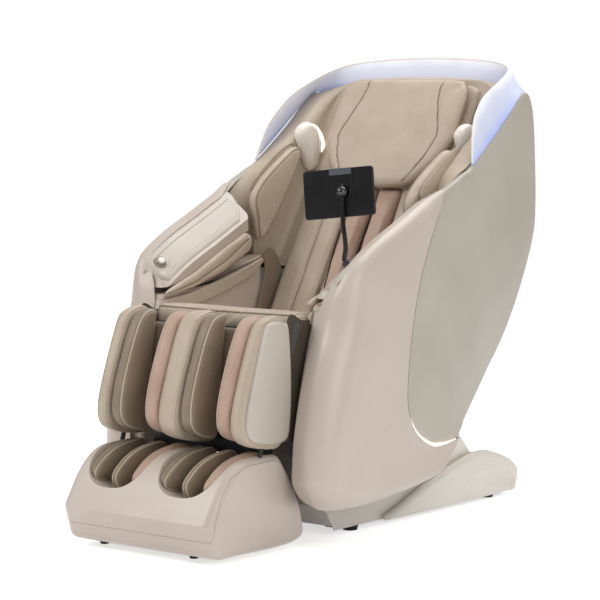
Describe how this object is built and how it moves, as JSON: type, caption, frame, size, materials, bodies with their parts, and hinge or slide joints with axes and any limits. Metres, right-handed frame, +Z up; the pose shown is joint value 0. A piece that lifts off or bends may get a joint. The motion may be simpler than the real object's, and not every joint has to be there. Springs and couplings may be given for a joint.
{
  "type": "massage chair",
  "caption": "Shell-type massage chair with tilting seat pod, reclining back, lifting calf rest, sliding foot rest and a tablet on a flexible neck.",
  "frame": {"origin": "centre of the bounding box on the floor, under the seat", "axes": "+Z up, -Y the front where the sitter's feet point, +X the sitter's left; X = 0 is the chair's middle plane"},
  "size_m": [0.7776, 1.3841, 1.245],
  "materials": {
    "shell_front": "satin moulded plastic, warm beige",
    "shell_rear": "satin moulded plastic, grey beige",
    "base_plastic": "satin moulded plastic, light warm grey",
    "panel_plastic": "satin moulded plastic, pale warm grey",
    "leather_beige": "soft synthetic leather, beige",
    "leather_taupe": "soft synthetic leather, taupe",
    "leather_rose": "soft synthetic leather, dusty rose",
    "canopy_diffuser": "frosted translucent plastic lit from within",
    "led_diffuser": "warm white light diffuser",
    "frame_steel": "powder coated steel, charcoal",
    "bright_steel": "ground and plated steel",
    "black_plastic": "black moulded plastic",
    "black_rubber": "black rubber",
    "roller_plastic": "moulded nylon massage roller",
    "device": "black tablet body and glass"
  },
  "bodies": {
    "base": {"base_frame": "frame_steel", "base_tower": "base_plastic", "base_cover_left": "base_plastic", "base_cover_right": "base_plastic", "base_feet": "black_rubber", "power_inlet": "black_plastic", "wheel_axle": "bright_steel"},
    "rocker": {"mains_switch": "black_plastic"},
    "left_wheel": {"wheel_left": "black_rubber"},
    "right_wheel": {"wheel_right": "black_rubber"},
    "pod": {"seat_frame": "frame_steel", "side_shell_left": "shell_front", "side_shell_right": "shell_front", "led_strips": "led_diffuser", "arm_body_left": "leather_beige", "arm_body_right": "leather_beige", "arm_panel_left": "panel_plastic", "arm_panel_right": "panel_plastic", "upper_arm_pads": "leather_beige", "lower_arm_pads": "leather_beige", "seat_cushion": "leather_beige", "neck_socket": "black_plastic", "gooseneck": "black_plastic", "tablet_cable": "black_plastic", "ball_joint": "black_plastic"},
    "dial": {"control_dial": "panel_plastic"},
    "button": {"power_button": "panel_plastic"},
    "screen": {"tablet": "device"},
    "back": {"back_frame": "frame_steel", "rear_shell_left": "shell_rear", "rear_shell_right": "shell_rear", "back_cover": "shell_rear", "canopy": "canopy_diffuser", "back_cushion": "leather_beige", "back_rolls": "leather_rose", "side_lining_left": "leather_beige", "side_lining_right": "leather_beige", "headrest_pillow": "leather_beige", "shoulder_pads_left": "leather_beige", "shoulder_pads_right": "leather_beige", "speaker_left": "panel_plastic", "speaker_right": "panel_plastic"},
    "carriage": {"massage_carriage": "frame_steel"},
    "kneaders": {"kneading_rollers": "roller_plastic"},
    "leg": {"leg_frame": "frame_steel", "calf_wall_left": "leather_beige", "calf_wall_centre": "leather_beige", "calf_wall_right": "leather_beige", "calf_covers": "panel_plastic", "calf_back_pad": "leather_taupe", "calf_pads_taupe": "leather_taupe", "calf_pads_rose": "leather_rose"},
    "foot": {"foot_shell": "base_plastic", "foot_base": "base_plastic", "foot_feet": "black_rubber", "foot_pads_taupe": "leather_taupe", "foot_pads_rose": "leather_rose", "foot_slides": "bright_steel"},
    "sole_rollers": {"foot_rollers": "roller_plastic"}
  },
  "joints": [
    {"name": "pod_tilt", "type": "hinge", "parent": "base", "child": "pod", "pos_m": [0, 0.06, 0.266], "axis": [-1, 0, 0], "range_deg": [0, 15]},
    {"name": "back_recline", "type": "hinge", "parent": "pod", "child": "back", "pos_m": [0, 0.05, 0.36], "axis": [-1, 0, 0], "range_deg": [0, 30]},
    {"name": "leg_lift", "type": "hinge", "parent": "pod", "child": "leg", "pos_m": [0, -0.35, 0.565], "axis": [-1, 0, 0], "range_deg": [0, 80]},
    {"name": "foot_slide", "type": "slide", "parent": "leg", "child": "foot", "axis": [0, -0.3256, -0.9455], "range_m": [0, 0.1]},
    {"name": "carriage_lift", "type": "slide", "parent": "back", "child": "carriage", "axis": [0, 0.515, 0.8572], "range_m": [0, 0.4]},
    {"name": "kneading_spin", "type": "hinge", "parent": "carriage", "child": "kneaders", "pos_m": [0, 0.18241, 0.52795], "axis": [1, 0, 0], "continuous": true},
    {"name": "sole_roller_spin", "type": "hinge", "parent": "foot", "child": "sole_rollers", "pos_m": [0, -0.52, 0.118], "axis": [1, 0, 0], "continuous": true},
    {"name": "left_wheel_spin", "type": "hinge", "parent": "base", "child": "left_wheel", "pos_m": [0.1, 0.628, 0.031], "axis": [1, 0, 0], "continuous": true},
    {"name": "right_wheel_spin", "type": "hinge", "parent": "base", "child": "right_wheel", "pos_m": [-0.1, 0.628, 0.031], "axis": [1, 0, 0], "continuous": true},
    {"name": "mains_rocker", "type": "hinge", "parent": "base", "child": "rocker", "pos_m": [-0.0205, 0.673, 0.047], "axis": [1, 0, 0], "range_deg": [-8, 8]},
    {"name": "dial_turn", "type": "hinge", "parent": "pod", "child": "dial", "pos_m": [-0.30219, -0.24356, 0.69643], "axis": [0.6157, -0.426, 0.663], "continuous": true},
    {"name": "power_press", "type": "slide", "parent": "dial", "child": "button", "axis": [-0.6157, 0.426, -0.663], "range_m": [0, 0.0015], "stiffness_N_per_m": 600, "springref_m": -0.002},
    {"name": "screen_swivel", "type": "hinge", "parent": "pod", "child": "screen", "pos_m": [0.2156, -0.12219, 0.89394], "axis": [0, 0, 1], "range_deg": [-25, 25]}
  ],
  "couplings": [
    {"joint": "foot_slide", "follows": "leg_lift", "m_per_rad": 0.07162}
  ]
}
